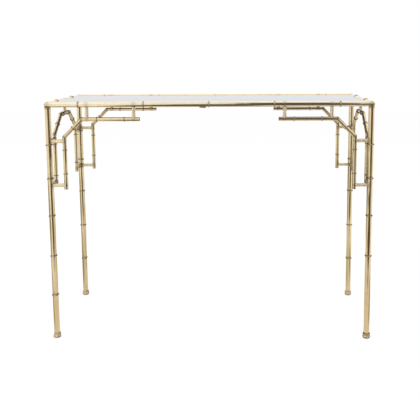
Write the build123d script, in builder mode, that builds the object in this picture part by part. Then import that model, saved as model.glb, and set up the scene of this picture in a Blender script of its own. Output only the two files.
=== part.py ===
"""Brass faux-bamboo vanity table with a loose mirrored top.

Four tube legs carry a mitred tube frame. Fretwork of thinner tube fills the corners: a bracket on each side of
the two long faces and one arch on each short side, all held by short coped stubs. Thin wire rings stand for the
nodes of the cane. The mirror rests on lugs under the rails and lifts straight out.

Millimetres, +Z up, the front of the table towards -Y, the origin on the floor under the middle of the table.
"""

import os

from build123d import *

# Main frame
LEG_SPACING_X = 982.0       # between leg axes, left to right
LEG_SPACING_Y = 382.0       # between leg axes, front to back
TABLE_HEIGHT = 750.0        # floor to the top of the rails
LEG_DIA = 18.0
LEG_WALL = 1.5
RAIL_DIA = 16.0
RAIL_WALL = 1.5
ROD_DIA = 12.0              # fretwork tube
ROD_WALL = 1.2
STUB_DIA = 11.0             # short rods between fretwork and frame
BRAZE_GAP = 0.1             # film of brazing metal between a tube and what is brazed to it

# Feet
FOOT_HEIGHT = 15.0          # floor to the end of the leg tube
FOOT_DIA = 24.0
FOOT_FLAT_DIA = 15.0        # flat that stands on the floor
FOOT_BULGE_HEIGHT = 5.5     # height of the widest part
FOOT_BEAD = 3.4             # height of the bead under the leg
SPIGOT_LENGTH = 16.0
SPIGOT_FIT = 0.1            # gap all round between spigot and leg tube

# Wire rings
FRAME_RING_WIRE = 2.5       # on legs and rails
ROD_RING_WIRE = 2.0         # on the fretwork
LEG_RING_DROPS = (123.0, 228.0, 345.0, 473.0, 600.0)    # below the rail axis
LONG_RAIL_RING_PITCH = 199.0
LONG_RAIL_RING_COUNT = 5
SIDE_RAIL_RING_PITCH = 184.0
SIDE_RAIL_RING_COUNT = 2

# Brackets on the long faces: offsets from the leg axis, drops below the rail axis
UPRIGHT_OFFSET = 48.0
UPRIGHT_END_DROP = 262.0
ARM_DROP = 45.0
ARM_END_OFFSET = 280.0
BRACKET_CORNER = 54.0       # run and rise of the diagonal
LEG_STUB_DROPS = (112.0, 249.0)
RAIL_STUB_OFFSETS = (119.0, 262.0)
UPRIGHT_RING_DROPS = (139.5, 213.0)
ARM_RING_OFFSETS = (149.0, 233.0)

# Arches on the short sides
ARCH_OFFSET = 62.0          # leg axis to upright axis
ARCH_CROWN_DROP = 42.0
ARCH_CORNER_RUN = 78.0
ARCH_CORNER_RISE = 56.0
ARCH_RING_DROPS = (129.0, 229.0)
CROWN_RING_SPACING = 62.0

# Mirror and its lugs
GLASS_THICKNESS = 4.0
GLASS_ARRIS = 0.8           # polished edge
BACKING_THICKNESS = 9.5
BACKING_INSET = 1.5         # edge of the board behind the edge of the glass
MIRROR_CLEARANCE = 0.6      # between the mirror's edge and the rail rings
LUG_WIDTH = 19.0
LUG_THICKNESS = 3.0
LUG_LAP = 4.0               # in front of the rail axis
LUG_REACH = 27.0            # behind the rail axis, under the mirror
LUG_SHIFT = -19.0           # the lug of a long rail stands a little left of centre
SIDE_LUG_SPACING = 240.0    # between the two lugs of a short rail

# Worked out from the sizes above
HALF_X = LEG_SPACING_X / 2
HALF_Y = LEG_SPACING_Y / 2
RAIL_Z = TABLE_HEIGHT - RAIL_DIA / 2
LUG_TOP_Z = TABLE_HEIGHT - RAIL_DIA - BRAZE_GAP
GLASS_Z = LUG_TOP_Z + BACKING_THICKNESS
MIRROR_MARGIN = RAIL_DIA / 2 + BRAZE_GAP + FRAME_RING_WIRE + MIRROR_CLEARANCE

SIDES = {"left": -1, "right": 1}
FACES = {"front": -1, "back": 1}
X_AXIS = (1, 0, 0)
Y_AXIS = (0, 1, 0)
Z_AXIS = (0, 0, 1)


def save(part, node):
    """Names a finished sub-part and writes its file."""
    part.label = node
    export_step(part, f"parts/{node}.step")


def mitred_tube(start, end, diameter, wall, start_mitre=None, end_mitre=None):
    """A straight tube between two axis points.

    A mitre is the normal of the cutting plane through that end's axis point, pointing into the tube.
    """
    axis = (Vector(*end) - Vector(*start)).normalized()
    length = (Vector(*end) - Vector(*start)).length
    before = diameter if start_mitre else 0
    after = diameter if end_mitre else 0
    with BuildPart() as tube:
        with BuildSketch(Plane(origin=Vector(*start) - axis * before, z_dir=axis)):
            Circle(diameter / 2)
            Circle(diameter / 2 - wall, mode=Mode.SUBTRACT)
        extrude(amount=before + length + after)
        if start_mitre:
            split(bisect_by=Plane(origin=start, z_dir=start_mitre), keep=Keep.TOP)
        if end_mitre:
            split(bisect_by=Plane(origin=end, z_dir=end_mitre), keep=Keep.TOP)
    return tube.part


def tube_run(points, nodes):
    """Fretwork tubes end to end along a line of axis points, mitred where they meet, one node each."""
    axes = [(Vector(*b) - Vector(*a)).normalized() for a, b in zip(points, points[1:])]
    mitres = [tuple(a + b) for a, b in zip(axes, axes[1:])]
    for i, node in enumerate(nodes):
        start_mitre = mitres[i - 1] if i > 0 else None
        end_mitre = tuple(-v for v in mitres[i]) if i < len(mitres) else None
        save(mitred_tube(points[i], points[i + 1], ROD_DIA, ROD_WALL, start_mitre, end_mitre), node)


def coped_stub(start, end, start_tube, end_tube):
    """A short rod between two tube axes, each end coped to its tube, given as (axis, diameter)."""
    axis = Vector(*end) - Vector(*start)
    with BuildPart() as stub:
        with BuildSketch(Plane(origin=start, z_dir=axis)):
            Circle(STUB_DIA / 2)
        extrude(amount=axis.length)
        for point, (direction, diameter) in ((start, start_tube), (end, end_tube)):
            with Locations(Plane(origin=point, z_dir=direction)):
                Cylinder(diameter / 2 + BRAZE_GAP, 3 * STUB_DIA, mode=Mode.SUBTRACT)
    return stub.part


def save_stubs(stubs, node):
    """Several stubs kept together as one node."""
    with BuildPart() as group:
        for stub in stubs:
            add(stub)
    save(group.part, node)


def save_rings(places, tube_dia, wire, node):
    """Wire rings round tubes of one diameter, each place an axis point and a direction."""
    with BuildPart() as rings:
        with Locations(*[Plane(origin=point, z_dir=direction) for point, direction in places]):
            Torus(tube_dia / 2 + BRAZE_GAP + wire / 2, wire / 2)
    save(rings.part, node)


def make_leg(x, y, node):
    """Leg tube whose top end is coped to both rails of its corner."""
    with BuildPart() as leg:
        with BuildSketch(Plane((x, y, FOOT_HEIGHT))):
            Circle(LEG_DIA / 2)
            Circle(LEG_DIA / 2 - LEG_WALL, mode=Mode.SUBTRACT)
        extrude(amount=RAIL_Z - FOOT_HEIGHT)
        for rail_axis in (X_AXIS, Y_AXIS):
            with Locations(Plane(origin=(x, y, RAIL_Z), z_dir=rail_axis)):
                Cylinder(RAIL_DIA / 2 + BRAZE_GAP, 3 * LEG_DIA, mode=Mode.SUBTRACT)
    save(leg.part, node)


def make_foot(x, y, node):
    """Turned foot: a bulged cap, a bead under the leg and a spigot inside it."""
    spigot_r = LEG_DIA / 2 - LEG_WALL - SPIGOT_FIT
    neck_r = LEG_DIA / 2 + 0.6
    bead_z = FOOT_HEIGHT - FOOT_BEAD
    with BuildPart() as foot:
        with BuildSketch(Plane(origin=(x, y, 0), x_dir=X_AXIS, z_dir=(0, -1, 0))):
            with BuildLine():
                Polyline((neck_r, FOOT_HEIGHT), (spigot_r, FOOT_HEIGHT), (spigot_r, FOOT_HEIGHT + SPIGOT_LENGTH),
                         (0, FOOT_HEIGHT + SPIGOT_LENGTH), (0, 0), (FOOT_FLAT_DIA / 2, 0))
                Spline((FOOT_FLAT_DIA / 2, 0), (FOOT_DIA / 2, FOOT_BULGE_HEIGHT), tangents=((1, 0.2), (0, 1)))
                Spline((FOOT_DIA / 2, FOOT_BULGE_HEIGHT), (neck_r, bead_z), tangents=((0, 1), (-1, 0.4)))
                ThreePointArc((neck_r, bead_z), (neck_r + FOOT_BEAD / 2, bead_z + FOOT_BEAD / 2),
                              (neck_r, FOOT_HEIGHT))
            make_face()
        revolve(axis=Axis((x, y, 0), Z_AXIS))
    save(foot.part, node)


def make_bracket(side, face):
    """Corner bracket on a long face: upright, diagonal and arm, with stubs to the leg and the rail."""
    towards_middle = -SIDES[side]
    leg_x = SIDES[side] * HALF_X
    y = FACES[face] * HALF_Y
    node = f"bracket_{face}_{side}"

    def at(offset, drop):
        return (leg_x + towards_middle * offset, y, RAIL_Z - drop)

    line = [at(UPRIGHT_OFFSET, UPRIGHT_END_DROP), at(UPRIGHT_OFFSET, ARM_DROP + BRACKET_CORNER),
            at(UPRIGHT_OFFSET + BRACKET_CORNER, ARM_DROP), at(ARM_END_OFFSET, ARM_DROP)]
    tube_run(line, [f"{node}_upright", f"{node}_diagonal", f"{node}_arm"])

    leg_stubs = [coped_stub(at(0, drop), at(UPRIGHT_OFFSET, drop), (Z_AXIS, LEG_DIA), (Z_AXIS, ROD_DIA))
                 for drop in LEG_STUB_DROPS]
    rail_stubs = [coped_stub(at(offset, ARM_DROP), at(offset, 0), (X_AXIS, ROD_DIA), (X_AXIS, RAIL_DIA))
                  for offset in RAIL_STUB_OFFSETS]
    save_stubs(leg_stubs, f"{node}_leg_stubs")
    save_stubs(rail_stubs, f"{node}_rail_stubs")

    diagonal_middle = at(UPRIGHT_OFFSET + BRACKET_CORNER / 2, ARM_DROP + BRACKET_CORNER / 2)
    return ([(at(UPRIGHT_OFFSET, drop), Z_AXIS) for drop in UPRIGHT_RING_DROPS]
            + [(diagonal_middle, (towards_middle, 0, 1))]
            + [(at(offset, ARM_DROP), X_AXIS) for offset in ARM_RING_OFFSETS])


def make_arch(side):
    """Arch across a short side, from the front leg to the back leg."""
    x = SIDES[side] * HALF_X
    foot_y = HALF_Y - ARCH_OFFSET
    crown_y = foot_y - ARCH_CORNER_RUN
    corner_drop = ARCH_CROWN_DROP + ARCH_CORNER_RISE
    node = f"arch_{side}"

    def at(y, drop):
        return (x, y, RAIL_Z - drop)

    line = [at(-foot_y, UPRIGHT_END_DROP), at(-foot_y, corner_drop), at(-crown_y, ARCH_CROWN_DROP),
            at(crown_y, ARCH_CROWN_DROP), at(foot_y, corner_drop), at(foot_y, UPRIGHT_END_DROP)]
    tube_run(line, [f"{node}_upright_front", f"{node}_diagonal_front", f"{node}_crown",
                    f"{node}_diagonal_back", f"{node}_upright_back"])

    leg_stubs = [coped_stub(at(end * HALF_Y, drop), at(end * foot_y, drop), (Z_AXIS, LEG_DIA), (Z_AXIS, ROD_DIA))
                 for end in FACES.values() for drop in LEG_STUB_DROPS]
    save_stubs(leg_stubs, f"{node}_leg_stubs")
    save(coped_stub(at(0, ARCH_CROWN_DROP), at(0, 0), (Y_AXIS, ROD_DIA), (Y_AXIS, RAIL_DIA)), f"{node}_rail_stub")

    rings = [(at(offset * CROWN_RING_SPACING / 2, ARCH_CROWN_DROP), Y_AXIS) for offset in FACES.values()]
    for end in FACES.values():
        rings += [(at(end * foot_y, drop), Z_AXIS) for drop in ARCH_RING_DROPS]
        middle = at(end * (foot_y + crown_y) / 2, ARCH_CROWN_DROP + ARCH_CORNER_RISE / 2)
        rings.append((middle, (0, -end * ARCH_CORNER_RUN, ARCH_CORNER_RISE)))
    return rings


def spread(count, pitch):
    """Evenly pitched places on both sides of zero."""
    return [(i - (count - 1) / 2) * pitch for i in range(count)]


os.makedirs("parts", exist_ok=True)

# Legs, feet and leg rings; the lowest ring of the front right leg has slid down onto its foot
leg_ring_places = []
for face, face_sign in FACES.items():
    for side, side_sign in SIDES.items():
        leg_x = side_sign * HALF_X
        leg_y = face_sign * HALF_Y
        make_leg(leg_x, leg_y, f"leg_{face}_{side}")
        make_foot(leg_x, leg_y, f"foot_{face}_{side}")
        ring_heights = [RAIL_Z - drop for drop in LEG_RING_DROPS]
        if (face, side) == ("front", "right"):
            ring_heights[-1] = FOOT_HEIGHT + BRAZE_GAP + FRAME_RING_WIRE / 2
        leg_ring_places += [((leg_x, leg_y, height), Z_AXIS) for height in ring_heights]
save_rings(leg_ring_places, LEG_DIA, FRAME_RING_WIRE, "leg_rings")

# Rails, mitred to each other over the leg axes, and their rings
rail_ring_places = []
for face, face_sign in FACES.items():
    y = face_sign * HALF_Y
    rail = mitred_tube((-HALF_X, y, RAIL_Z), (HALF_X, y, RAIL_Z), RAIL_DIA, RAIL_WALL,
                       (1, face_sign, 0), (-1, face_sign, 0))
    save(rail, f"rail_{face}")
    rail_ring_places += [((x, y, RAIL_Z), X_AXIS) for x in spread(LONG_RAIL_RING_COUNT, LONG_RAIL_RING_PITCH)]
for side, side_sign in SIDES.items():
    x = side_sign * HALF_X
    rail = mitred_tube((x, -HALF_Y, RAIL_Z), (x, HALF_Y, RAIL_Z), RAIL_DIA, RAIL_WALL,
                       (side_sign, 1, 0), (side_sign, -1, 0))
    save(rail, f"rail_{side}")
    rail_ring_places += [((x, y, RAIL_Z), Y_AXIS) for y in spread(SIDE_RAIL_RING_COUNT, SIDE_RAIL_RING_PITCH)]
save_rings(rail_ring_places, RAIL_DIA, FRAME_RING_WIRE, "rail_rings")

# Fretwork
bracket_ring_places = []
for face in FACES:
    for side in SIDES:
        bracket_ring_places += make_bracket(side, face)
save_rings(bracket_ring_places, ROD_DIA, ROD_RING_WIRE, "bracket_rings")

arch_ring_places = []
for side in SIDES:
    arch_ring_places += make_arch(side)
save_rings(arch_ring_places, ROD_DIA, ROD_RING_WIRE, "arch_rings")

# Lugs under the rails, which the mirror rests on: one on each long rail, two on each short rail
LUG_LENGTH = LUG_REACH + LUG_LAP
LUG_INSET = (LUG_REACH - LUG_LAP) / 2
with BuildPart() as mirror_lugs:
    with BuildSketch(Plane.XY.offset(LUG_TOP_Z - LUG_THICKNESS)):
        with Locations(*[(LUG_SHIFT, sign * (HALF_Y - LUG_INSET)) for sign in FACES.values()]):
            RectangleRounded(LUG_WIDTH, LUG_LENGTH, 2)
        with Locations(*[(sign * (HALF_X - LUG_INSET), y) for sign in SIDES.values()
                         for y in spread(2, SIDE_LUG_SPACING)]):
            RectangleRounded(LUG_LENGTH, LUG_WIDTH, 2)
    extrude(amount=LUG_THICKNESS)
save(mirror_lugs.part, "mirror_lugs")

# Mirror: silvered pane bonded to a backing board
GLASS_LENGTH = LEG_SPACING_X - 2 * MIRROR_MARGIN
GLASS_DEPTH = LEG_SPACING_Y - 2 * MIRROR_MARGIN
with BuildPart() as mirror_glass:
    with BuildSketch(Plane.XY.offset(GLASS_Z)):
        Rectangle(GLASS_LENGTH, GLASS_DEPTH)
    extrude(amount=GLASS_THICKNESS)
    chamfer(mirror_glass.faces().sort_by(Axis.Z)[-1].edges(), GLASS_ARRIS)
save(mirror_glass.part, "mirror_glass")

with BuildPart() as mirror_backing:
    with BuildSketch(Plane.XY.offset(LUG_TOP_Z)):
        Rectangle(GLASS_LENGTH - 2 * BACKING_INSET, GLASS_DEPTH - 2 * BACKING_INSET)
    extrude(amount=BACKING_THICKNESS)
save(mirror_backing.part, "mirror_backing")
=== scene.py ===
import math
import random

import bpy
import bmesh
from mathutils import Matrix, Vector


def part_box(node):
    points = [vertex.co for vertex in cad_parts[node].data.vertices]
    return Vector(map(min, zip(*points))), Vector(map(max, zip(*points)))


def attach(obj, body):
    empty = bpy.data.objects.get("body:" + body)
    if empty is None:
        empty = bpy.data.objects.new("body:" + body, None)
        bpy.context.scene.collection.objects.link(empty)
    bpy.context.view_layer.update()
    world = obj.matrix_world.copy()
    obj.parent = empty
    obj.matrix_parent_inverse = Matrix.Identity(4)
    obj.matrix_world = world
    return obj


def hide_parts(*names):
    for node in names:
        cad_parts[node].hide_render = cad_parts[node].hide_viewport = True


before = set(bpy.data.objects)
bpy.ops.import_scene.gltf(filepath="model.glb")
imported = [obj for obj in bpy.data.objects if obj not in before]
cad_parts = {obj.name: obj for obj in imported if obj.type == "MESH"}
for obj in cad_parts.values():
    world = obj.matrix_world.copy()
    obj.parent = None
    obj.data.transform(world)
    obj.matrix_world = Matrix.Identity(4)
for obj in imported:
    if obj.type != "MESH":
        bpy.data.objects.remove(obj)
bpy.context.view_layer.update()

# A brass faux-bamboo table with a loose mirrored top. Every node of the pack is replaced by a finer mesh of the
# same shape, with eased edges, brazing beads and fillets, uneven wire rings, and painted shade in creases,
# bores and undersides.
rng = random.Random(7)

# ---------------------------------------------------------------- sizes of the solids, in metres
MM = 0.001
HALF_X = 491 * MM
HALF_Y = 191 * MM
RAIL_Z = 742 * MM
LEG_R, LEG_WALL = 9 * MM, 1.5 * MM
RAIL_R, RAIL_WALL = 8 * MM, 1.5 * MM
ROD_R, ROD_WALL = 6 * MM, 1.2 * MM
STUB_R = 5.5 * MM
FOOT_H = 15 * MM
FRAME_WIRE_R = 1.25 * MM
ROD_WIRE_R = 1.0 * MM
LEG_RING_DROPS = (123, 228, 345, 473, 600)
UPRIGHT_OFFSET, UPRIGHT_END_DROP = 48, 262
ARM_DROP, ARM_END_OFFSET, BRACKET_CORNER = 45, 280, 54
LEG_STUB_DROPS = (112, 249)
RAIL_STUB_OFFSETS = (119, 262)
UPRIGHT_RING_DROPS = (139.5, 213)
ARM_RING_OFFSETS = (149, 233)
ARCH_OFFSET, ARCH_CROWN_DROP = 62, 42
ARCH_CORNER_RUN, ARCH_CORNER_RISE = 78, 56
ARCH_RING_DROPS = (129, 229)
CROWN_RING_SPACING = 62
LONG_RAIL_RINGS = [(i - 2) * 199 * MM for i in range(5)]
SIDE_RAIL_RINGS = [-92 * MM, 92 * MM]
LUG_SHIFT = -19 * MM
SIDE_LUGS = (-120 * MM, 120 * MM)
LUG_HALF_WIDTH, LUG_LAP, LUG_REACH = 9.5 * MM, 4 * MM, 27 * MM

# Sizes of what only the finer meshes have
LEG_BEAD, RAIL_BEAD, ROD_BEAD = 0.7 * MM, 0.6 * MM, 0.5 * MM
STUB_FILLET = 1.3 * MM
TUBE_EASE = 0.3 * MM
LEG_INTO_FOOT = 2.5 * MM
LEG_SIDES, RAIL_SIDES, ROD_SIDES, BEAD_STEPS = 64, 56, 40, 48
LEG_RING_SIDES, RAIL_RING_SIDES, ROD_RING_SIDES, ROD_WIRE_SIDES = 56, 52, 40, 12

SIDES = {"left": -1, "right": 1}
FACES = {"front": -1, "back": 1}
X_DIR = Vector((1, 0, 0))
Y_DIR = Vector((0, 1, 0))
Z_DIR = Vector((0, 0, 1))


# ---------------------------------------------------------------- materials
class Tree:
    """A material's node tree with short ways to add and join nodes."""

    def __init__(self, name):
        self.material = bpy.data.materials.new(name)
        self.material.use_nodes = True
        self.nodes = self.material.node_tree.nodes
        self.links = self.material.node_tree.links
        self.shader = self.nodes["Principled BSDF"]
        self.coords = self.nodes.new("ShaderNodeTexCoord")

    def put(self, value, socket):
        if isinstance(value, bpy.types.NodeSocket):
            self.links.new(value, socket)
        else:
            socket.default_value = value

    def set(self, **values):
        for key, value in values.items():
            self.put(value, self.shader.inputs[key.replace("_", " ")])

    def stretched(self, source, scale):
        node = self.nodes.new("ShaderNodeMapping")
        self.links.new(self.coords.outputs[source], node.inputs["Vector"])
        node.inputs["Scale"].default_value = scale
        return node.outputs["Vector"]

    def noise(self, vector, scale, detail=3.0, rough=0.5, distortion=0.0):
        node = self.nodes.new("ShaderNodeTexNoise")
        self.put(vector, node.inputs["Vector"])
        node.inputs["Scale"].default_value = scale
        node.inputs["Detail"].default_value = detail
        node.inputs["Roughness"].default_value = rough
        node.inputs["Distortion"].default_value = distortion
        return node.outputs["Fac"]

    def specks(self, vector, scale):
        node = self.nodes.new("ShaderNodeTexVoronoi")
        self.put(vector, node.inputs["Vector"])
        node.inputs["Scale"].default_value = scale
        return node.outputs["Distance"]

    def span(self, value, low, high, to_low=0.0, to_high=1.0):
        node = self.nodes.new("ShaderNodeMapRange")
        node.interpolation_type = "SMOOTHSTEP"
        self.put(value, node.inputs["Value"])
        node.inputs["From Min"].default_value = low
        node.inputs["From Max"].default_value = high
        node.inputs["To Min"].default_value = to_low
        node.inputs["To Max"].default_value = to_high
        return node.outputs["Result"]

    def math(self, operation, a, b):
        node = self.nodes.new("ShaderNodeMath")
        node.operation = operation
        self.put(a, node.inputs[0])
        self.put(b, node.inputs[1])
        return node.outputs["Value"]

    def mix(self, factor, a, b):
        node = self.nodes.new("ShaderNodeMix")
        node.data_type = "RGBA"
        self.put(factor, node.inputs[0])
        for value, socket in ((a, node.inputs[6]), (b, node.inputs[7])):
            self.put(value if isinstance(value, bpy.types.NodeSocket) else (*value, 1), socket)
        return node.outputs[2]

    def attribute(self, name):
        node = self.nodes.new("ShaderNodeAttribute")
        node.attribute_name = name
        return node.outputs["Fac"]

    def bump(self, height, distance, strength=1.0, under=None):
        node = self.nodes.new("ShaderNodeBump")
        node.inputs["Strength"].default_value = strength
        node.inputs["Distance"].default_value = distance
        self.put(height, node.inputs["Height"])
        if under is not None:
            self.links.new(under, node.inputs["Normal"])
        return node.outputs["Normal"]


def brass(name, clean, warm, dull, roughness):
    """Old lacquered brass: rubbed bright, warmer patches, brown at small pits, and dark brown painted shade in
    the crevices, on undersides and in bores.
    """
    t = Tree(name)
    place = t.coords.outputs["Object"]
    patches = t.span(t.noise(place, 22, 4, 0.6), 0.42, 0.66)
    clouds = t.span(t.noise(place, 75, 5, 0.65), 0.46, 0.72)
    streaks = t.noise(t.stretched("UV", (420, 9, 1)), 1.0, 3, 0.6)
    pits = t.span(t.specks(place, 330), 0.05, 0.16, 1.0, 0.0)
    worn = t.math("MULTIPLY", pits, t.span(t.noise(place, 55, 3), 0.56, 0.70))
    # The per-point value read here is mostly painted shade, and the dark of a joint on the braze seams: it
    # darkens the colour, roughens it, dulls the specular tint and thins the coat.
    crevice = t.attribute("grime_and_shade")
    edge = t.math("MULTIPLY", crevice, t.span(t.noise(place, 260, 3), 0.22, 0.52, 0.45, 1.0))
    colour = t.mix(t.math("MULTIPLY", patches, 0.75), clean, warm)
    colour = t.mix(t.math("MULTIPLY", clouds, 0.30), colour, dull)
    colour = t.mix(t.math("MULTIPLY", worn, 0.55), colour, (0.20, 0.12, 0.05))
    colour = t.mix(edge, colour, (0.085, 0.055, 0.026))
    rough = t.math("ADD", t.span(streaks, 0.3, 0.7, roughness * 0.8, roughness * 1.25),
                   t.math("MULTIPLY", clouds, 0.07))
    rough = t.math("ADD", rough, t.math("MULTIPLY", edge, 0.28))
    ripple = t.bump(t.noise(place, 30, 1, 0.3), 0.0010, 0.22)
    fine = t.bump(streaks, 0.00001, 0.25, ripple)
    t.set(Base_Color=colour, Roughness=rough, Normal=t.bump(worn, 0.00025, 0.4, fine), Metallic=1.0,
          Specular_Tint=t.mix(edge, (1.0, 1.0, 1.0), (0.40, 0.34, 0.25)),
          Coat_Weight=t.span(edge, 0.0, 1.0, 0.7, 0.1), Coat_Roughness=0.06)
    return t.material


def mirror_silver():
    """Silvered face of the pane: clear in the middle, faint grey bloom and specks towards its edges."""
    t = Tree("mirror_silver")
    place = t.coords.outputs["Object"]
    rim = t.attribute("grime_and_shade")
    bloom = t.math("MULTIPLY", rim, t.span(t.noise(place, 60, 5, 0.7), 0.45, 0.75))
    dust = t.span(t.noise(place, 9, 4, 0.6), 0.35, 0.75)
    specks = t.math("MULTIPLY", t.span(t.specks(place, 140), 0.04, 0.12, 1.0, 0.0), rim)
    colour = t.mix(t.math("MULTIPLY", dust, 0.35), (0.83, 0.845, 0.865), (0.77, 0.785, 0.805))
    colour = t.mix(t.math("MULTIPLY", bloom, 0.28), colour, (0.50, 0.49, 0.46))
    colour = t.mix(t.math("MULTIPLY", specks, 0.7), colour, (0.16, 0.15, 0.13))
    rough = t.math("ADD", t.span(dust, 0, 1, 0.012, 0.045), t.math("MULTIPLY", bloom, 0.12))
    t.set(Base_Color=colour, Roughness=rough, Metallic=1.0, Specular_Tint=(0.74, 0.75, 0.775, 1))
    return t.material


def glass_edge():
    """Cut and polished edge of the pane: bottle green with a ground, slightly uneven face."""
    t = Tree("glass_edge")
    place = t.coords.outputs["Object"]
    grain = t.noise(place, 420, 3)
    colour = t.mix(t.span(t.noise(place, 40, 3), 0.35, 0.7), (0.20, 0.34, 0.29), (0.38, 0.50, 0.45))
    t.set(Base_Color=colour, Roughness=t.span(grain, 0.3, 0.7, 0.10, 0.26), IOR=1.52,
          Normal=t.bump(grain, 0.0001, 0.3))
    return t.material


def hardboard():
    """Brown pressed board: felted fibres, paler flecks and the screen's cross-hatch on its face."""
    t = Tree("hardboard")
    place = t.coords.outputs["Object"]
    fibres = t.noise(t.stretched("Object", (260, 900, 900)), 1.0, 4, 0.65)
    across = t.noise(t.stretched("Object", (900, 230, 900)), 1.0, 4, 0.65)
    felt = t.math("MAXIMUM", fibres, across)
    blotch = t.span(t.noise(place, 14, 4, 0.6), 0.35, 0.7)
    weave = []
    for rotation in (0.0, math.pi / 2):
        node = t.nodes.new("ShaderNodeTexWave")
        mapping = t.nodes.new("ShaderNodeMapping")
        mapping.inputs["Rotation"].default_value = (0, 0, rotation)
        t.links.new(place, mapping.inputs["Vector"])
        t.links.new(mapping.outputs["Vector"], node.inputs["Vector"])
        node.inputs["Scale"].default_value = 130
        node.inputs["Distortion"].default_value = 0.6
        weave.append(node.outputs["Fac"])
    screen = t.math("MULTIPLY", weave[0], weave[1])
    colour = t.mix(t.span(felt, 0.4, 0.8), (0.150, 0.083, 0.042), (0.290, 0.175, 0.092))
    colour = t.mix(t.math("MULTIPLY", blotch, 0.5), colour, (0.105, 0.058, 0.030))
    height = t.math("ADD", t.math("MULTIPLY", screen, 0.6), felt)
    t.set(Base_Color=colour, Roughness=t.span(felt, 0.3, 0.8, 0.62, 0.85), Normal=t.bump(height, 0.0004, 0.6))
    return t.material


BRASS = brass("brass_tube", (0.79, 0.655, 0.385), (0.74, 0.565, 0.325), (0.56, 0.44, 0.245), 0.10)
# A paler copy of the brass for the front rail: painted sheen.
BRASS_PALE = brass("brass_front_rail", (0.86, 0.755, 0.53), (0.82, 0.69, 0.465), (0.63, 0.515, 0.315), 0.10)
BRASS_FRET = brass("brass_fretwork", (0.76, 0.63, 0.37), (0.70, 0.54, 0.31), (0.52, 0.41, 0.225), 0.12)
BRASS_RING = brass("brass_wire", (0.66, 0.54, 0.31), (0.58, 0.45, 0.26), (0.40, 0.31, 0.17), 0.16)
BRASS_RING_DARK = brass("brass_wire_dark", (0.34, 0.275, 0.16), (0.28, 0.21, 0.12), (0.17, 0.13, 0.075), 0.22)
# The pale wire brass is a paler copy: a painted highlight on the foot beads, and it keeps the back and side
# rail rings faint.
BRASS_RING_PALE = brass("brass_wire_pale", (0.82, 0.72, 0.50), (0.76, 0.64, 0.42), (0.62, 0.51, 0.32), 0.50)
BRASS_RING_SOFT = brass("brass_wire_dull", (0.66, 0.56, 0.35), (0.58, 0.46, 0.27), (0.40, 0.31, 0.175), 0.42)
# The stub brass is a paler copy, painted light for the bright bracket stubs; the dark stub brass is a darker
# copy, painted shade for the arches' side stubs.
BRASS_STUB = brass("brass_stub", (0.95, 0.83, 0.55), (0.89, 0.745, 0.475), (0.72, 0.59, 0.36), 0.48)
BRASS_STUB_DARK = brass("brass_stub_dark", (0.46, 0.36, 0.205), (0.39, 0.29, 0.16), (0.26, 0.195, 0.107), 0.25)
BRASS_CAST = brass("brass_foot", (0.88, 0.75, 0.48), (0.80, 0.65, 0.40), (0.58, 0.46, 0.26), 0.22)
SILVER = mirror_silver()
GLASS = glass_edge()
BOARD = hardboard()


# ---------------------------------------------------------------- mesh building
class Shell:
    """One mesh in the making: rows of points joined into grids, a UV in metres and a value per point of painted
    shade and grime.
    """

    def __init__(self):
        self.points = []
        self.grime_and_shade = []
        self.faces = []
        self.uvs = []
        self.material_of = []

    def add(self, point, grime_and_shade=0.0):
        self.points.append(Vector(point))
        self.grime_and_shade.append(min(max(grime_and_shade, 0.0), 1.0))
        return len(self.points) - 1

    def face(self, corners, uvs=None, material=0):
        self.faces.append(corners)
        self.uvs.append(uvs or [(0.0, 0.0)] * len(corners))
        self.material_of.append(material)

    def grid(self, rows, girth, loop=False, material=0):
        """rows of point numbers, each row a closed ring; loop joins the last row back to the first."""
        run = 0.0
        pairs = list(zip(rows, rows[1:] + rows[:1] if loop else rows[1:]))
        for low, high in pairs:
            step = (self.points[high[0]] - self.points[low[0]]).length
            count = len(low)
            for j in range(count):
                k = (j + 1) % count
                u0, u1 = girth * j / count, girth * (j + 1) / count
                self.face((low[j], low[k], high[k], high[j]),
                          [(u0, run), (u1, run), (u1, run + step), (u0, run + step)], material)
            run += step

    def middle(self, row):
        return sum((self.points[i] for i in row), Vector()) / len(row)

    def cap(self, row, centre, grime_and_shade):
        middle = self.add(centre, grime_and_shade)
        for j in range(len(row)):
            self.face((row[j], row[(j + 1) % len(row)], middle))

    def build(self, name, materials, body, nodes=(), sharp=38):
        mesh = bpy.data.meshes.new(name)
        mesh.from_pydata([tuple(p) for p in self.points], [], [tuple(f) for f in self.faces])
        layer = mesh.uv_layers.new(name="UVMap")
        for polygon, uvs, material in zip(mesh.polygons, self.uvs, self.material_of):
            polygon.use_smooth = True
            polygon.material_index = material
            for loop, uv in zip(polygon.loop_indices, uvs):
                layer.data[loop].uv = uv
        values = mesh.attributes.new("grime_and_shade", "FLOAT", "POINT")
        for i, value in enumerate(self.grime_and_shade):
            values.data[i].value = value
        mesh.validate()
        tidy = bmesh.new()
        tidy.from_mesh(mesh)
        bmesh.ops.recalc_face_normals(tidy, faces=tidy.faces)
        tidy.to_mesh(mesh)
        tidy.free()
        mesh.set_sharp_from_angle(angle=math.radians(sharp))
        piece = bpy.data.objects.new(name, mesh)
        bpy.context.scene.collection.objects.link(piece)
        for material in materials:
            mesh.materials.append(material)
        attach(piece, body)
        if nodes:
            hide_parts(*nodes)
        return piece


def across(axis):
    """Two unit vectors square to an axis and to each other."""
    helper = Z_DIR if abs(axis.dot(Z_DIR)) < 0.9 else X_DIR
    u = axis.cross(helper).normalized()
    return u, axis.cross(u).normalized()


def spokes(axis, radius, sides):
    u, v = across(axis)
    return [radius * (math.cos(2 * math.pi * j / sides) * u + math.sin(2 * math.pi * j / sides) * v)
            for j in range(sides)]


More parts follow.
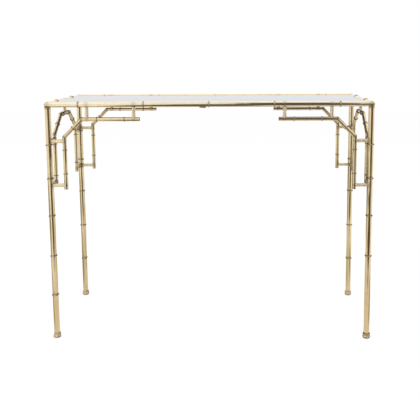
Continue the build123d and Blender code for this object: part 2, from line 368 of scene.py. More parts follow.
def near(t, marks, o, under=0.0):
    """
    Painted shade at a place on a tube: most at a mark, fading over its width, and a line of painted shade along
    the underside. A mark with a direction is a patch on that side of the tube, one without is a band right
    round it.
    """
    out = o.normalized()
    found = under * max(0.0, (-out.z - 0.80) / 0.20)
    for at, width, strength, *facing in marks:
        turned = max(0.0, out.dot(facing[0])) if facing else 1.0
        found = max(found, turned * strength * math.exp(-((t - at) / width) ** 2))
    return found


def tube_rows(length, marks):
    """Places of the cross-sections along a tube, closer together by each mark."""
    places = {0.0, length}
    steps = max(2, math.ceil(length / 0.012))
    places.update(length * i / steps for i in range(steps + 1))
    for at, width, *_ in marks:
        places.update(at + width * k for k in (-2.2, -1.3, -0.7, -0.35, 0.0, 0.35, 0.7, 1.3, 2.2))
    return sorted(p for p in places if 0.0 <= p <= length)


def tube(shell, start, end, radius, wall, start_at, end_at, marks, sides, under=0.0):
    """
    A tube between two axis points. start_at and end_at give, for a spoke, how far along the axis that end
    lies. An end with None is square and open, with an eased rim and its bore.
    """
    axis = (end - start).normalized()
    length = (end - start).length
    out = spokes(axis, radius, sides)
    first = [start_at(o) if start_at else 0.0 for o in out]
    last = [end_at(o) if end_at else length for o in out]
    rows = []
    for place in tube_rows(length, marks):
        share = place / length
        row = []
        for o, a, b in zip(out, first, last):
            a, b = (a if start_at else a + TUBE_EASE), (b if end_at else b - TUBE_EASE)
            t = a + (b - a) * share
            row.append(shell.add(start + axis * t + o, near(t, marks, o, under)))
        rows.append(row)
    girth = 2 * math.pi * radius

    def bore(point, inward):
        """Rim and inside of an open end, from the outer edge inwards, with painted shade deepening into the
        bore.
        """
        inner = (radius - wall) / radius
        eased = (radius - TUBE_EASE) / radius
        bored = (radius - wall + TUBE_EASE) / radius
        levels = ((eased, 0.0, 0.25), (bored, 0.0, 0.35), (inner, TUBE_EASE, 0.6), (inner, 8 * MM, 0.9),
                  (inner, 30 * MM, 1.0))
        return [[shell.add(point + inward * depth + o * scale, grime_and_shade) for o in out]
                for scale, depth, grime_and_shade in levels]

    if not start_at:
        rows = bore(start, axis)[::-1] + rows
    if not end_at:
        rows = rows + bore(end, -axis)
    shell.grid(rows, girth)
    for row in (rows[0], rows[-1]):
        shell.cap(row, shell.middle(row), 0.5)


def mitre(axis, normal, along=0.0):
    """Where a plane through an end's axis point cuts each spoke's line."""
    return lambda o: along - o.dot(normal) / axis.dot(normal)


def seam(shell, points, radius, grime_and_shade=0.55, sides=8):
    """A closed bead of brazing metal along a line of points."""
    rows = []
    count = len(points)
    middle = sum(points, Vector()) / count
    for i, p in enumerate(points):
        along = (points[(i + 1) % count] - points[i - 1]).normalized()
        outward = p - middle
        outward = (outward - along * outward.dot(along)).normalized()
        side = along.cross(outward)
        wave = 0.22 * math.sin(5.3 * i / count * 2 * math.pi + 1.7)
        swell = radius * (1 + wave + 0.12 * rng.uniform(-1, 1))
        rows.append([shell.add(p + swell * (math.cos(a) * outward + math.sin(a) * side), grime_and_shade)
                     for a in (2 * math.pi * k / sides for k in range(sides))])
    shell.grid(rows, 2 * math.pi * radius, loop=True)


def stub(shell, start, end, start_tube, end_tube, painted_shade=0.0, sides=32):
    """
    A short rod between two tubes, each given as (direction, radius), with a fillet of braze round both seats.
    Painted shade darkens it towards both seats, and the next-to-last argument adds painted shade along the
    whole rod.
    """
    axis = (end - start).normalized()
    length = (end - start).length
    unit = spokes(axis, 1.0, sides)

    def seat(o, tube_given):
        """How far from that tube's axis a line along the rod meets the tube."""
        direction, radius = tube_given
        off = abs(o.dot(axis.cross(direction).normalized()))
        return math.sqrt(max(radius * radius - off * off, (0.12 * radius) ** 2)) - 0.15 * MM

    def reach(o, tube_given):
        """Size of the fillet on one side of the rod, less where a thin tube would not carry it."""
        direction, radius = tube_given
        lean = abs(o.dot(axis.cross(direction).normalized()))
        return min(STUB_FILLET, 0.985 * radius / max(lean, 0.1) - STUB_R)

    steps = (0.0, 0.10, 0.25, 0.45, 0.7, 1.0)
    rows = []
    for far in (False, True):
        part = []
        for s in steps:
            curve = 1 - math.sqrt(1 - (1 - s) ** 2)
            row = []
            for o in unit:
                given = end_tube if far else start_tube
                swell = reach(o, given)
                spoke = o * (STUB_R + swell * curve)
                t = seat(spoke, given) + s * swell
                if far:
                    t = length - t
                row.append(shell.add(start + axis * t + spoke, 0.75 * (1 - s) + 0.10 + painted_shade))
            part.append(row)
        if far:
            rows.append([shell.add((shell.points[a] + shell.points[b]) / 2, 0.3 * painted_shade)
                         for a, b in zip(rows[-1], part[-1])])
            rows += part[::-1]
        else:
            rows += part
    shell.grid(rows, 2 * math.pi * STUB_R)
    for row in (rows[0], rows[-1]):
        shell.cap(row, shell.middle(row), 1.0)


def ring(shell, centre, axis, tube_r, wire_r, lean, sides, around=14, material=0, painted_shade=1.0, side_shade=0.0):
    """
    A wire ring pressed round a tube. lean is a small tilt of its axis; the wire is not quite round or even.
    The next-to-last argument paints shade into the crease between wire and tube; the last paints shade where
    the wire turns away from the Y direction.
    """
    tilted = (axis.normalized() + lean).normalized()
    u, v = across(tilted)
    phase = rng.uniform(0, 2 * math.pi)
    rows = []
    for i in range(sides):
        a = 2 * math.pi * i / sides
        out = math.cos(a) * u + math.sin(a) * v
        wire = wire_r * (0.955 + 0.035 * math.sin(3 * a + phase))
        middle = centre + out * (tube_r + wire_r * 0.93) + tilted * (0.18 * MM * math.sin(2 * a + phase))
        row = []
        for k in range(around):
            b = 2 * math.pi * k / around
            inner = max(0.0, -math.cos(b))
            side_on = abs(math.sin(b))
            # Painted shade: in the crease against the tube and on the wire's sides, and where the wire turns
            # away from the Y direction.
            grime_and_shade = painted_shade * (0.95 * inner ** 0.7 + 0.25 * side_on ** 4)
            grime_and_shade += side_shade * max(0.0, 1 - out.y ** 2) ** 0.7
            row.append(shell.add(middle + wire * (math.cos(b) * out + math.sin(b) * tilted), grime_and_shade))
        rows.append(row)
    shell.grid(rows, 2 * math.pi * wire_r, loop=True, material=material)


# ---------------------------------------------------------------- frame: legs, feet and rails
# Marks of painted shade on the tubes, at rings, seats, ends and joints: width and strength
RING_MARK = (2.3 * MM, 0.85)
FAINT_RING_MARK = (1.5 * MM, 0.18)
SEAT_MARK = (6.5 * MM, 0.30)
LEG_FOOT_MARK = (4 * MM, 0.35)
LEG_TOP_MARK = (6 * MM, 0.75)
LONG_RAIL_END_MARK = (6 * MM, 0.35)
SIDE_RAIL_END_MARK = (6 * MM, 0.6)
# Painted shade along the underside of the rails.
RAIL_UNDERSIDE_SHADE = 0.9
RAIL_BEAD_GRIME = 0.30
LEG_SEAT_WIDTH = 8 * MM
# Painted shade on the legs' inner faces at the stub seats, set leg by leg.
LEG_SEAT_SHADE = {"front_left": 0.85, "front_right": 0.95, "back_left": 1.10, "back_right": 0.80}


def leg_ring_heights(face, side):
    heights = [RAIL_Z - drop * MM for drop in LEG_RING_DROPS]
    if (face, side) == ("front", "right"):
        heights[-1] = FOOT_H + 0.1 * MM + FRAME_WIRE_R
    return heights


def leg_top(height):
    """Top edge of a leg, coped to both rails of its corner."""
    def at(o):
        deep = max(RAIL_R ** 2 - o.x ** 2, RAIL_R ** 2 - o.y ** 2, 0.0)
        return height - math.sqrt(deep) + 0.2 * MM
    return at


seams = Shell()
for face, face_sign in FACES.items():
    for side, side_sign in SIDES.items():
        base = Vector((side_sign * HALF_X, face_sign * HALF_Y, FOOT_H))
        length = RAIL_Z - FOOT_H
        marks = [(h - FOOT_H, *RING_MARK) for h in leg_ring_heights(face, side)]
        for drop in LEG_STUB_DROPS:
            for inward in (-side_sign * X_DIR, -face_sign * Y_DIR):
                marks.append((length - drop * MM, LEG_SEAT_WIDTH, LEG_SEAT_SHADE[f"{face}_{side}"], inward))
        marks += [(0.0, *LEG_FOOT_MARK), (length - 7 * MM, *LEG_TOP_MARK)]
        lip = leg_top(length)
        shell = Shell()
        tube(shell, base, base + Z_DIR * length, LEG_R, LEG_WALL, lambda o: -LEG_INTO_FOOT, lip,
             marks, LEG_SIDES)
        shell.build(f"fine_leg_{face}_{side}", [BRASS], "frame", [f"leg_{face}_{side}"])
        seam(seams, [base + o + Z_DIR * lip(o) for o in spokes(Z_DIR, LEG_R, BEAD_STEPS)], LEG_BEAD)


def hermite(a, b, ta, tb, count):
    """Points on a smooth curve between two points with given end directions."""
    reach = (Vector(b) - Vector(a)).length
    ta, tb = Vector(ta).normalized() * reach, Vector(tb).normalized() * reach
    found = []
    for i in range(count + 1):
        s = i / count
        found.append((2 * s**3 - 3 * s**2 + 1) * Vector(a) + (s**3 - 2 * s**2 + s) * ta
                     + (3 * s**2 - 2 * s**3) * Vector(b) + (s**3 - s**2) * tb)
    return found


def foot(shell, x, y, lean, painted_shade, rim):
    """
    Turned foot cap with a bead under the leg. lean tips its upper half, as the worn casting does. The argument
    after lean paints shade into the creases over and under the bead, rim paints a contact shadow at the edge on
    the floor.
    The ends of the foot along X are darkened with painted shade, the outer one more widely.
    """
    flat, bulge, neck = (7.5, 0), (12, 5.5), (9.6, 11.6)
    bead, steps = 1.7, 12
    rim_height, crease_from, crease_height, top_radius = 4.4, 9.4, 2.2, 8.6
    profile = [(p.x, p.y, rim * min(1.0, 1.5 * max(0.0, 1 - p.y / rim_height)))
               for p in hermite(flat, bulge, (1, 0.2), (0, 1), steps)]
    profile += [(p.x, p.y, painted_shade * max(0.0, (p.y - crease_from) / crease_height))
                for p in hermite(bulge, neck, (0, 1), (-1, 0.4), steps)[1:]]
    crease = len(profile) - 1
    for i in range(1, steps + 1):
        a = math.pi * i / steps
        profile.append((neck[0] + bead * math.sin(a), neck[1] + bead - bead * math.cos(a),
                        painted_shade * abs(math.cos(a)) ** 14))
    profile.append((top_radius, 14.98, painted_shade))
    rows = []
    for r, z, grime_and_shade in profile:
        row = []
        for o in spokes(Z_DIR, r * MM, LEG_SIDES):
            tip = lean * o.x * min(1.0, max(0.0, (z - 1.5) / 7.5))
            spread = FOOT_OUTER_SPREAD if o.x * x > 0 else FOOT_INNER_SPREAD
            flank_shade = FOOT_FLANK_SHADE * (abs(o.x) / (r * MM)) ** spread
            row.append(shell.add((x + o.x, y + o.y, z * MM + tip), max(grime_and_shade, flank_shade)))
        rows.append(row)
    girth = 2 * math.pi * bulge[0] * MM
    shell.grid(rows[:crease + 1], girth)
    # The bead and the top of the foot take the pale wire brass: a painted highlight on the bead.
    shell.grid(rows[crease:], girth, material=1)
    shell.cap(rows[0], (x, y, 0.0), 0.4)
    shell.cap(rows[-1], (x, y, 14.9 * MM), 1.0)


# Painted shade on each foot's ends along X, wider on the outer end. In the looks below, the value after lean
# paints shade in the creases round the bead, and rim paints a contact shadow at the floor.
FOOT_FLANK_SHADE, FOOT_OUTER_SPREAD, FOOT_INNER_SPREAD = 0.7, 1.7, 4.0
FOOT_LOOK = {
    "front_left": {"lean": 0.25, "painted_shade": 0.35, "rim": 0.45},
    "front_right": {"lean": -0.02, "painted_shade": 1.0, "rim": 1.0},
    "back_left": {"lean": 0.19, "painted_shade": 0.50, "rim": 1.0},
    "back_right": {"lean": -0.05, "painted_shade": 0.35, "rim": 1.0},
}
for face, face_sign in FACES.items():
    for side, side_sign in SIDES.items():
        shell = Shell()
        foot(shell, side_sign * HALF_X, face_sign * HALF_Y, **FOOT_LOOK[f"{face}_{side}"])
        shell.build(f"fine_foot_{face}_{side}", [BRASS_CAST, BRASS_RING_PALE], "frame",
                    [f"foot_{face}_{side}"])

# The front rail takes the paler brass copy: painted sheen.
RAIL_METAL = {"front": BRASS_PALE, "back": BRASS, "left": BRASS_FRET, "right": BRASS_FRET}


def rail(name, start, end, start_normal, end_normal, marks):
    """A rail mitred at both ends; gives back the line of its mitre at the far end."""
    axis = (end - start).normalized()
    length = (end - start).length
    shell = Shell()
    start_at, end_at = mitre(axis, start_normal), mitre(axis, end_normal, length)
    tube(shell, start, end, RAIL_R, RAIL_WALL, start_at, end_at, marks, RAIL_SIDES, RAIL_UNDERSIDE_SHADE)
    shell.build(f"fine_rail_{name}", [RAIL_METAL[name]], "frame", [f"rail_{name}"])
    return [start + axis * end_at(o) + o for o in spokes(axis, RAIL_R, BEAD_STEPS)]


for face, face_sign in FACES.items():
    y = face_sign * HALF_Y
    marks = [(x + HALF_X, *(RING_MARK if face == "front" else FAINT_RING_MARK)) for x in LONG_RAIL_RINGS]
    marks += [(s * (HALF_X - o * MM) + HALF_X, *SEAT_MARK) for s in (-1, 1) for o in RAIL_STUB_OFFSETS]
    marks += [(0.0, *LONG_RAIL_END_MARK), (2 * HALF_X, *LONG_RAIL_END_MARK)]
    line = rail(face, Vector((-HALF_X, y, RAIL_Z)), Vector((HALF_X, y, RAIL_Z)),
                Vector((1, face_sign, 0)), Vector((-1, face_sign, 0)), marks)
    seam(seams, line, RAIL_BEAD, RAIL_BEAD_GRIME)
    seam(seams, [Vector((-p.x, p.y, p.z)) for p in line], RAIL_BEAD, RAIL_BEAD_GRIME)
for side, side_sign in SIDES.items():
    x = side_sign * HALF_X
    marks = [(y + HALF_Y, *FAINT_RING_MARK) for y in SIDE_RAIL_RINGS]
    marks += [(HALF_Y, *SEAT_MARK), (0.0, *SIDE_RAIL_END_MARK), (2 * HALF_Y, *SIDE_RAIL_END_MARK)]
    rail(side, Vector((x, -HALF_Y, RAIL_Z)), Vector((x, HALF_Y, RAIL_Z)),
         Vector((side_sign, 1, 0)), Vector((side_sign, -1, 0)), marks)


# ---------------------------------------------------------------- fretwork
# Marks of painted shade on the rods, at rings, stub seats and mitres.
ROD_RING_MARK = (1.9 * MM, 0.85)
ROD_SEAT_MARK = (5.5 * MM, 0.35)
ROD_MITRE_MARK = (4 * MM, 0.55)
ROD_RING_LEAN = 0.05
# Painted shade on the bracket rings where the wire turns away from the Y direction, and along the arches' side
# stubs.
BRACKET_RING_SIDE_SHADE = 0.6
ARCH_STUB_SHADE = 0.55


def rod_ring_lean(first, second):
    """A small random tilt of a ring in two directions square to its rod."""
    return ROD_RING_LEAN * (first * rng.uniform(-1, 1) + second * rng.uniform(-1, 1))


def fret_run(points, nodes, ring_points, seat_points):
    """Tubes end to end along axis points, mitred where they meet and open at both free ends."""
    axes = [(b - a).normalized() for a, b in zip(points, points[1:])]
    for i, node in enumerate(nodes):
        start, end = points[i], points[i + 1]
        axis, length = axes[i], (end - start).length
        start_at = mitre(axis, axes[i - 1] + axis) if i > 0 else None
        end_at = mitre(axis, axis + axes[i + 1], length) if i < len(nodes) - 1 else None
        marks = []
        for found, mark in ((ring_points, ROD_RING_MARK), (seat_points, ROD_SEAT_MARK)):
            for p in found:
                t = (p - start).dot(axis)
                if 0 < t < length and (start + axis * t - p).length < 0.5 * MM:
                    marks.append((t, *mark))
        if start_at:
            marks.append((0.0, *ROD_MITRE_MARK))
        if end_at:
            marks.append((length, *ROD_MITRE_MARK))
        shell = Shell()
        tube(shell, start, end, ROD_R, ROD_WALL, start_at, end_at, marks, ROD_SIDES)
        shell.build(f"fine_{node}", [BRASS_FRET], "frame", [node])
        if end_at:
            seam(seams, [start + axis * end_at(o) + o for o in spokes(axis, ROD_R, ROD_SIDES)], ROD_BEAD)


bracket_rings = Shell()
for face, face_sign in FACES.items():
    for side, side_sign in SIDES.items():
        node = f"bracket_{face}_{side}"
        inward = -side_sign

        def at(offset, drop):
            return Vector((side_sign * HALF_X + inward * offset * MM, face_sign * HALF_Y, RAIL_Z - drop * MM))

        line = [at(UPRIGHT_OFFSET, UPRIGHT_END_DROP), at(UPRIGHT_OFFSET, ARM_DROP + BRACKET_CORNER),
                at(UPRIGHT_OFFSET + BRACKET_CORNER, ARM_DROP), at(ARM_END_OFFSET, ARM_DROP)]
        rings = [(at(UPRIGHT_OFFSET, d), Z_DIR) for d in UPRIGHT_RING_DROPS]
        rings.append(((line[1] + line[2]) / 2, (line[2] - line[1]).normalized()))
        rings += [(at(o, ARM_DROP), X_DIR) for o in ARM_RING_OFFSETS]
        seats = [at(UPRIGHT_OFFSET, d) for d in LEG_STUB_DROPS] + [at(o, ARM_DROP) for o in RAIL_STUB_OFFSETS]
        fret_run(line, [f"{node}_upright", f"{node}_diagonal", f"{node}_arm"], [p for p, d in rings], seats)
        for p, d in rings:
            lean = rod_ring_lean(Y_DIR, Z_DIR if abs(d.z) < 0.5 else X_DIR)
            ring(bracket_rings, p, d, ROD_R, ROD_WIRE_R, lean, ROD_RING_SIDES, ROD_WIRE_SIDES,
                 side_shade=BRACKET_RING_SIDE_SHADE)
        shell = Shell()
        for drop in LEG_STUB_DROPS:
            stub(shell, at(0, drop), at(UPRIGHT_OFFSET, drop), (Z_DIR, LEG_R), (Z_DIR, ROD_R))
        shell.build(f"fine_{node}_leg_stubs", [BRASS_STUB], "frame", [f"{node}_leg_stubs"])
        shell = Shell()
        for offset in RAIL_STUB_OFFSETS:
            stub(shell, at(offset, ARM_DROP), at(offset, 0), (X_DIR, ROD_R), (X_DIR, RAIL_R))
        shell.build(f"fine_{node}_rail_stubs", [BRASS_STUB], "frame", [f"{node}_rail_stubs"])

arch_rings = Shell()
for side, side_sign in SIDES.items():
    node = f"arch_{side}"
    x = side_sign * HALF_X
    foot_y = HALF_Y - ARCH_OFFSET * MM
    crown_y = foot_y - ARCH_CORNER_RUN * MM

    def on(y, drop):
        return Vector((x, y, RAIL_Z - drop * MM))

    corner = ARCH_CROWN_DROP + ARCH_CORNER_RISE
    line = [on(-foot_y, UPRIGHT_END_DROP), on(-foot_y, corner), on(-crown_y, ARCH_CROWN_DROP),
            on(crown_y, ARCH_CROWN_DROP), on(foot_y, corner), on(foot_y, UPRIGHT_END_DROP)]
    rings = [(on(s * CROWN_RING_SPACING / 2 * MM, ARCH_CROWN_DROP), Y_DIR) for s in (-1, 1)]
    for s in (-1, 1):
        rings += [(on(s * foot_y, d), Z_DIR) for d in ARCH_RING_DROPS]
    rings += [((line[i] + line[i + 1]) / 2, (line[i + 1] - line[i]).normalized()) for i in (1, 3)]
    seats = [on(s * foot_y, d) for s in (-1, 1) for d in LEG_STUB_DROPS] + [on(0, ARCH_CROWN_DROP)]
    names = ("upright_front", "diagonal_front", "crown", "diagonal_back", "upright_back")
    fret_run(line, [f"{node}_{name}" for name in names], [p for p, d in rings], seats)
    for p, d in rings:
        lean = rod_ring_lean(X_DIR, Z_DIR if abs(d.z) < 0.5 else Y_DIR)
        ring(arch_rings, p, d, ROD_R, ROD_WIRE_R, lean, ROD_RING_SIDES, ROD_WIRE_SIDES)
    # The arches' side stubs: the dark stub brass and extra painted shade.
    shell = Shell()
    for s in (-1, 1):
        for drop in LEG_STUB_DROPS:
            stub(shell, on(s * HALF_Y, drop), on(s * foot_y, drop), (Z_DIR, LEG_R), (Z_DIR, ROD_R),
                 ARCH_STUB_SHADE)
    shell.build(f"fine_{node}_leg_stubs", [BRASS_STUB_DARK], "frame", [f"{node}_leg_stubs"])
    shell = Shell()
    stub(shell, on(0, ARCH_CROWN_DROP), on(0, 0), (Y_DIR, ROD_R), (Y_DIR, RAIL_R))
    shell.build(f"fine_{node}_rail_stub", [BRASS_FRET], "frame", [f"{node}_rail_stub"])

bracket_rings.build("fine_bracket_rings", [BRASS_RING_SOFT], "frame", ["bracket_rings"])
arch_rings.build("fine_arch_rings", [BRASS_RING_DARK], "frame", ["arch_rings"])
seams.build("braze_seams", [BRASS_FRET], "frame")

# ---------------------------------------------------------------- rings of the legs and rails
LEG_RING_LEAN = {"front_left": -0.15, "front_right": 0.08, "back_left": -0.11, "back_right": 0.08}
LOOSE_RING_LEAN = {("back", "left", 4): -0.34}
# Painted shade on the leg rings where the wire turns away from the Y direction.
LEG_RING_SIDE_SHADE = 1.1
leg_rings = Shell()
for face, face_sign in FACES.items():
    for side, side_sign in SIDES.items():
        for i, height in enumerate(leg_ring_heights(face, side)):
            on_foot = height < 2 * FOOT_H
            lean = 0.0 if on_foot else LEG_RING_LEAN[f"{face}_{side}"] + 0.02 * rng.uniform(-1, 1)
            sway = 0.0 if on_foot else 0.025 * rng.uniform(-1, 1)
            lean = LOOSE_RING_LEAN.get((face, side, i), lean)
            centre = Vector((side_sign * HALF_X, face_sign * HALF_Y, height))
            ring(leg_rings, centre, Z_DIR, LEG_R, FRAME_WIRE_R, Vector((lean, sway, 0)), LEG_RING_SIDES,
                 side_shade=LEG_RING_SIDE_SHADE)
leg_rings.build("fine_leg_rings", [BRASS_RING], "frame", ["leg_rings"])

# Front rail rings: painted shade in the crease and where the wire turns away from the Y direction. The other
# rail rings take the pale wire brass and little painted shade, so they read faint.
FRONT_RING_LOOK = {"material": 0, "painted_shade": 1.0, "side_shade": 0.4}
FAINT_RING_LOOK = {"material": 1, "painted_shade": 0.15, "side_shade": 0.0}
rail_rings = Shell()
for face, face_sign in FACES.items():
    for x in LONG_RAIL_RINGS:
        lean = Vector((0, 0.03 * rng.uniform(-1, 1), 0.04 * rng.uniform(-1, 1)))
        ring(rail_rings, Vector((x, face_sign * HALF_Y, RAIL_Z)), X_DIR, RAIL_R, FRAME_WIRE_R, lean,
             RAIL_RING_SIDES, **(FRONT_RING_LOOK if face == "front" else FAINT_RING_LOOK))
for side_sign in SIDES.values():
    for y in SIDE_RAIL_RINGS:
        lean = Vector((0.03 * rng.uniform(-1, 1), 0, 0.04 * rng.uniform(-1, 1)))
        ring(rail_rings, Vector((side_sign * HALF_X, y, RAIL_Z)), Y_DIR, RAIL_R, FRAME_WIRE_R, lean,
             RAIL_RING_SIDES, **FAINT_RING_LOOK)
rail_rings.build("fine_rail_rings", [BRASS_RING_SOFT, BRASS_RING_PALE], "frame", ["rail_rings"])


# ---------------------------------------------------------------- mirror and its lugs
def rounded(low, high, corner, count=5):
    """Outline of a rectangle with rounded corners, anticlockwise."""
    found = []
    for cx, cy, start in ((high[0] - corner, high[1] - corner, 0), (low[0] + corner, high[1] - corner, 1),
                          (low[0] + corner, low[1] + corner, 2), (high[0] - corner, low[1] + corner, 3)):
        for i in range(count + 1):
            a = math.pi / 2 * (start + i / count)
            found.append((cx + corner * math.cos(a), cy + corner * math.sin(a)))
    return found


def slab(shell, low, high, corner, levels, split=None, materials=(0, 0)):
    """
    A flat plate. levels are (inset, z, grime) from the underside up; split is the level from which the second
    material is used.
    """
    rows = []
    for inset, z, grime_and_shade in levels:
        outline = rounded((low[0] + inset, low[1] + inset), (high[0] - inset, high[1] - inset),
                          max(corner - inset, 0.2 * MM))
        rows.append([shell.add((px, py, z), grime_and_shade) for px, py in outline])
    girth = 2 * (high[0] - low[0] + high[1] - low[1])
    split = len(levels) if split is None else split
    if split > 1:
        shell.grid(rows[:split], girth, material=materials[0])
    if split < len(levels):
        shell.grid(rows[max(split - 1, 0):], girth, material=materials[1])
    shell.face(tuple(rows[0][::-1]), None, materials[0])
    shell.face(tuple(rows[-1]), None, materials[1] if split < len(levels) else materials[0])


low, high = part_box("mirror_glass")
shell = Shell()
slab(shell, low, high, 1.2 * MM,
     [(0.5 * MM, low[2], 1.0), (0.0, low[2] + 0.5 * MM, 1.0), (0.0, high[2] - 0.8 * MM, 1.0),
      (0.12 * MM, high[2] - 0.45 * MM, 1.0), (0.42 * MM, high[2] - 0.14 * MM, 1.0), (0.8 * MM, high[2], 1.0),
      (4 * MM, high[2], 0.9), (12 * MM, high[2], 0.5), (30 * MM, high[2], 0.15), (60 * MM, high[2], 0.0)],
     6, (0, 1))
shell.build("fine_mirror_glass", [GLASS, SILVER], "mirror_top", ["mirror_glass"], sharp=20)

low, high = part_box("mirror_backing")
shell = Shell()
slab(shell, low, high, 1.5 * MM,
     [(0.7 * MM, low[2], 0.2), (0.2 * MM, low[2] + 0.25 * MM, 0.4), (0.0, low[2] + 0.8 * MM, 0.4),
      (0.0, high[2] - 0.5 * MM, 0.4), (0.5 * MM, high[2], 0.4)])
shell.build("fine_mirror_backing", [BOARD], "mirror_top", ["mirror_backing"])

low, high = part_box("mirror_lugs")
LUG_CORNER = 2 * MM
lug_levels = [(0.45 * MM, low[2], 0.1), (0.13 * MM, low[2] + 0.13 * MM, 0.1), (0.0, low[2] + 0.45 * MM, 0.1),
              (0.0, high[2] - 0.45 * MM, 0.2), (0.13 * MM, high[2] - 0.13 * MM, 0.3), (0.45 * MM, high[2], 0.4)]
shell = Shell()
for sign in (-1, 1):
    outer, inner = sorted((sign * (HALF_Y + LUG_LAP), sign * (HALF_Y - LUG_REACH)))
    slab(shell, (LUG_SHIFT - LUG_HALF_WIDTH, outer), (LUG_SHIFT + LUG_HALF_WIDTH, inner), LUG_CORNER,
         lug_levels)
    outer, inner = sorted((sign * (HALF_X + LUG_LAP), sign * (HALF_X - LUG_REACH)))
    for y in SIDE_LUGS:
        slab(shell, (outer, y - LUG_HALF_WIDTH), (inner, y + LUG_HALF_WIDTH), LUG_CORNER, lug_levels)
shell.build("fine_mirror_lugs", [BRASS_FRET], "frame", ["mirror_lugs"])


# ---------------------------------------------------------------- stage, light and camera
def plane(name, corners, material):
    mesh = bpy.data.meshes.new(name)
    mesh.from_pydata(corners, [], [(0, 1, 2, 3)])
    obj = bpy.data.objects.new(name, mesh)
    bpy.context.scene.collection.objects.link(obj)
    mesh.materials.append(material)
    return obj


def seen_directly(nodes, links):
    """1 for camera, glossy and transmission rays, 0 for light that falls on the object."""
    path = nodes.new("ShaderNodeLightPath")
    total = path.outputs["Is Camera Ray"]
    for ray in ("Is Glossy Ray", "Is Transmission Ray"):
        node = nodes.new("ShaderNodeMath")
        node.operation = "MAXIMUM"
        links.new(total, node.inputs[0])
        links.new(path.outputs[ray], node.inputs[1])
        total = node.outputs["Value"]
    return total


def paper():
    """White paper: its own white where it is seen, with part of the real light so that shadows stay on it."""
    material = bpy.data.materials.new("paper")
    material.use_nodes = True
    nodes, links = material.node_tree.nodes, material.node_tree.links
    diffuse = nodes["Principled BSDF"]
    diffuse.inputs["Base Color"].default_value = (0.86, 0.86, 0.86, 1)
    diffuse.inputs["Roughness"].default_value = 1.0
    diffuse.inputs["Specular IOR Level"].default_value = 0.0
    glow = nodes.new("ShaderNodeEmission")
    glow.inputs["Strength"].default_value = 0.885
    shade = nodes.new("ShaderNodeBsdfDiffuse")
    shade.inputs["Color"].default_value = (0.19, 0.19, 0.19, 1)
    part = nodes.new("ShaderNodeAddShader")
    links.new(shade.outputs["BSDF"], part.inputs[0])
    links.new(glow.outputs["Emission"], part.inputs[1])
    choose = nodes.new("ShaderNodeMixShader")
    links.new(seen_directly(nodes, links), choose.inputs["Fac"])
    links.new(diffuse.outputs["BSDF"], choose.inputs[1])
    links.new(part.outputs["Shader"], choose.inputs[2])
    links.new(choose.outputs["Shader"], nodes["Material Output"].inputs["Surface"])
    return material


plane("floor", [(-8, -8, 0), (8, -8, 0), (8, 8, 0), (-8, 8, 0)], paper())


def card(name, low, high, colour, soft=0.12):
    """A studio card between two corners that shows only in reflections, fading out at its edges."""
    material = bpy.data.materials.new(name)
    material.use_nodes = True
    nodes, links = material.node_tree.nodes, material.node_tree.links
    split = nodes.new("ShaderNodeSeparateXYZ")
    links.new(nodes.new("ShaderNodeTexCoord").outputs["Generated"], split.inputs["Vector"])
    flat = min(range(3), key=lambda i: high[i] - low[i])
    cover = None
    for axis in [i for i in range(3) if i != flat]:
        for start, end in ((0.0, soft), (1.0, 1.0 - soft)):
            fade = nodes.new("ShaderNodeMapRange")
            fade.interpolation_type = "SMOOTHSTEP"
            links.new(split.outputs[axis], fade.inputs["Value"])
            fade.inputs["From Min"].default_value = start
            fade.inputs["From Max"].default_value = end
            if cover is None:
                cover = fade.outputs["Result"]
                continue
            both = nodes.new("ShaderNodeMath")
            both.operation = "MULTIPLY"
            links.new(cover, both.inputs[0])
            links.new(fade.outputs["Result"], both.inputs[1])
            cover = both.outputs["Value"]
    glow = nodes.new("ShaderNodeEmission")
    glow.inputs["Color"].default_value = (*colour, 1)
    mixed = nodes.new("ShaderNodeMixShader")
    links.new(cover, mixed.inputs["Fac"])
    links.new(nodes.new("ShaderNodeBsdfTransparent").outputs["BSDF"], mixed.inputs[1])
    links.new(glow.outputs["Emission"], mixed.inputs[2])
    links.new(mixed.outputs["Shader"], nodes["Material Output"].inputs["Surface"])
    (x0, y0, z0), (x1, y1, z1) = low, high
    if flat == 2:
        corners = [(x0, y0, z0), (x1, y0, z0), (x1, y1, z0), (x0, y1, z0)]
    elif flat == 1:
        corners = [(x0, y0, z0), (x1, y0, z0), (x1, y0, z1), (x0, y0, z1)]
    else:
        corners = [(x0, y0, z0), (x0, y1, z0), (x0, y1, z1), (x0, y0, z1)]
    obj = plane(name, corners, material)
    obj.visible_camera = False
    obj.visible_diffuse = False
    obj.visible_shadow = False
    obj.visible_transmission = False


DARK = (0.105, 0.080, 0.064)
SHADE = (0.40, 0.39, 0.29)
FOOT_SHADE = 0.021
card("near_floor_card", (-1.35, -0.85, 0.002), (1.35, 0.95, 0.002), (0.84, 0.775, 0.715), 0.15)
card("left_floor_card", (-1.60, -0.40, 0.003), (-0.50, 0.70, 0.003), SHADE, 0.17)
# Painted shadow of the table on the floor under it, seen only in reflections.
card("under_table_shadow_card", (-0.22, -0.10, 0.003), (0.44, 0.60, 0.003), (0.56, 0.54, 0.42), 0.20)
card("left_far_card", (-3.4, -1.60, 0.003), (-1.15, 2.0, 0.003), SHADE, 0.15)
card("right_floor_card", (0.56, -0.35, 0.003), (1.10, 0.13, 0.003), SHADE, 0.20)
# Painted contact shadows under the feet, seen only in reflections.
for face, face_sign in FACES.items():
    for side, side_sign in SIDES.items():
        x, y = side_sign * HALF_X, face_sign * HALF_Y
        card(f"foot_{face}_{side}_card", (x - FOOT_SHADE, y - FOOT_SHADE, 0.0035),
             (x + FOOT_SHADE, y + FOOT_SHADE, 0.0035), (0.13, 0.105, 0.065), 0.22)
card("dark_floor_card", (-0.56, -3.05, 0.004), (1.65, -0.78, 0.004), DARK, 0.09)
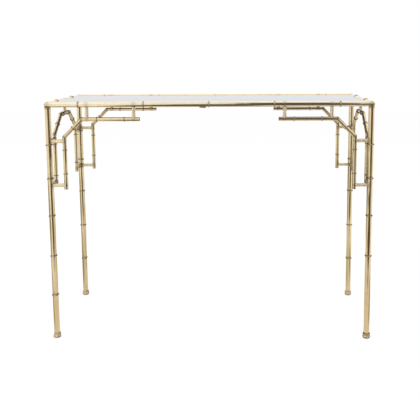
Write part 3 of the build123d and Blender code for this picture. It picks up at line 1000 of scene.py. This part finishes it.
# Painted shadow of the table on the floor in front of it, seen only in reflections.
card("table_shadow_front_card", (0.22, -0.98, 0.003), (0.78, -0.60, 0.003), (0.36, 0.30, 0.22), 0.30)
card("dark_room_card", (-0.72, -3.05, -0.3), (1.9, -3.05, 0.95), DARK, 0.15)
card("dark_upper_card", (-0.02, -3.04, 0.35), (1.05, -3.04, 5.4), DARK, 0.15)
card("dark_flag_card", (0.04, -0.76, 0.34), (0.46, -0.46, 0.34), DARK, 0.12)
card("front_flag_card", (-0.41, -0.46, 0.55), (0.22, -0.17, 0.55), DARK, 0.20)
card("side_flag_card", (1.30, -2.60, 0.12), (1.30, -0.62, 0.85), (0.165, 0.090, 0.055), 0.15)
card("key_glow_card", (-3.7, -3.4, 2.5), (-0.35, 0.2, 2.5), (1.32, 1.28, 1.20), 0.20)
card("rear_glow_card", (-1.7, 0.3, 2.6), (2.1, 3.6, 2.6), (1.36, 1.36, 1.40), 0.22)
card("back_floor_card", (-2.4, 0.80, 0.004), (0.9, 3.05, 0.004), (0.20, 0.185, 0.17), 0.12)
card("back_room_card", (-2.6, 3.05, -0.3), (1.1, 3.05, 0.80), (0.20, 0.185, 0.17), 0.15)

world = bpy.data.worlds.new("studio")
bpy.context.scene.world = world
world.use_nodes = True
nodes, links = world.node_tree.nodes, world.node_tree.links
soft = nodes["Background"]
soft.inputs["Color"].default_value = (1, 1, 1, 1)
soft.inputs["Strength"].default_value = 0.55
white = nodes.new("ShaderNodeBackground")
white.inputs["Color"].default_value = (1, 1, 1, 1)
white.inputs["Strength"].default_value = 1.0
choose = nodes.new("ShaderNodeMixShader")
links.new(seen_directly(nodes, links), choose.inputs["Fac"])
links.new(soft.outputs["Background"], choose.inputs[1])
links.new(white.outputs["Background"], choose.inputs[2])
links.new(choose.outputs["Shader"], nodes["World Output"].inputs["Surface"])


def softbox(name, place, size, energy):
    """A square lamp turned to the middle of the table. Its reflection is left to the glow cards."""
    lamp = bpy.data.lights.new(name, "AREA")
    lamp.size = size
    lamp.energy = energy
    obj = bpy.data.objects.new(name, lamp)
    obj.location = place
    obj.rotation_euler = (Vector((0, 0, 0.45)) - Vector(place)).to_track_quat("-Z", "Y").to_euler()
    obj.visible_glossy = False
    bpy.context.scene.collection.objects.link(obj)


softbox("key", (-2.2, -1.9, 2.5), 3.0, 30)
softbox("fill", (2.4, -0.6, 2.2), 1.8, 12)
softbox("rear", (0.2, 2.4, 2.6), 3.2, 12)

camera = bpy.data.cameras.new("camera")
camera.sensor_width = 36
camera.lens = 56.924
camera.shift_x = -0.0603
camera.shift_y = -0.150
eye = bpy.data.objects.new("camera", camera)
eye.location = (0.1119, -2.1972, 0.8902)
eye.rotation_euler = (math.radians(90 - 7.924), math.radians(0.265), math.radians(0.891))
bpy.context.scene.collection.objects.link(eye)
bpy.context.scene.camera = eye
bpy.context.scene.view_settings.view_transform = "Standard"
